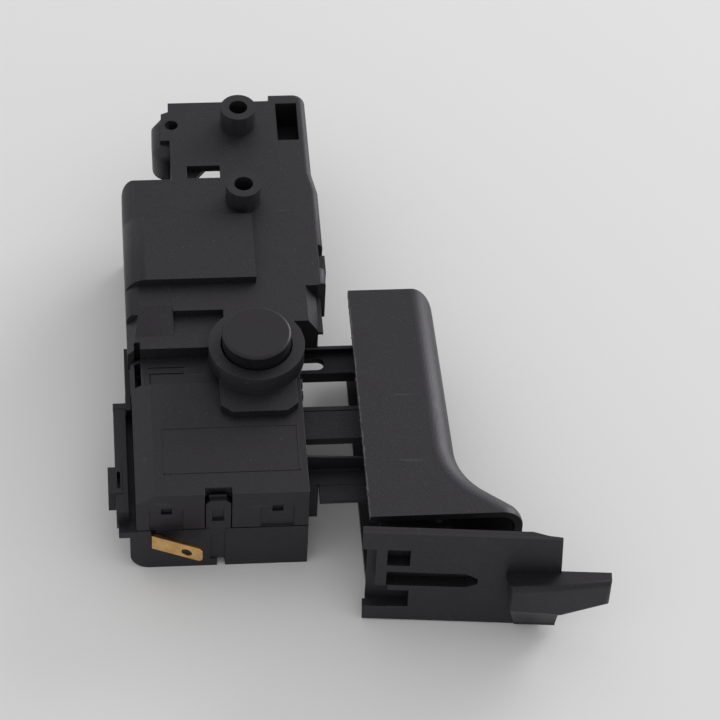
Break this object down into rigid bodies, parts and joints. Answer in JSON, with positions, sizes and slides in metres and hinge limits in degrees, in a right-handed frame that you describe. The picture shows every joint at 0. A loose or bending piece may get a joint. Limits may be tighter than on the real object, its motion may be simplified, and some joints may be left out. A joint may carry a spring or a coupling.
{
  "type": "power tool trigger switch",
  "caption": "Black trigger switch for a power tool handle, with a long finger trigger on guide arms, an end shield with a nose, a round lock-on button and a mounting cover with screw posts.",
  "frame": {"origin": "foot of the lock button's axis on the plane that the switch rests on, at the underside of the case base", "axes": "+X from the switch case to the trigger, +Y from the front terminal to the screw posts, +Z out of the lock button"},
  "size_m": [0.1103, 0.147, 0.0362],
  "materials": {
    "black_nylon": "matt, finely grained",
    "black_button": "matt",
    "inner_nylon": "matt",
    "brass": "stamped, bright",
    "spring_steel": "drawn wire",
    "capacitor_case": "smooth",
    "tinned_copper": "tinned wire"
  },
  "bodies": {
    "housing": {"case_top": "black_nylon", "case_base": "black_nylon", "front_terminal": "brass", "front_load_contact": "brass", "rear_line_contact": "brass", "rear_load_contact": "brass", "terminal_screws": "spring_steel", "return_spring": "spring_steel", "lower_guide_rail": "black_nylon", "side_bracket": "black_nylon", "mounting_cover": "black_nylon", "rear_housing": "inner_nylon", "lock_housing": "black_nylon", "lock_spring": "spring_steel", "suppressor_capacitor": "capacitor_case", "capacitor_leads": "tinned_copper"},
    "trigger": {"trigger_shell": "black_nylon", "end_shield": "black_nylon", "plunger": "black_nylon", "upper_guide_arm": "black_nylon", "front_contact_bridge": "brass", "rear_contact_bridge": "brass", "contact_springs": "spring_steel"},
    "lock": {"lock_button": "black_button", "lock_pin": "spring_steel"}
  },
  "joints": [
    {"name": "trigger_slide", "type": "slide", "parent": "housing", "child": "trigger", "axis": [-1, 0, 0], "range_m": [0, 0.006], "stiffness_N_per_m": 600, "springref_m": -0.004, "deforming": ["return_spring"]},
    {"name": "lock_press", "type": "slide", "parent": "housing", "child": "lock", "axis": [0, 0, -1], "range_m": [0, 0.003], "stiffness_N_per_m": 400, "springref_m": -0.003, "deforming": ["lock_spring"]}
  ]
}
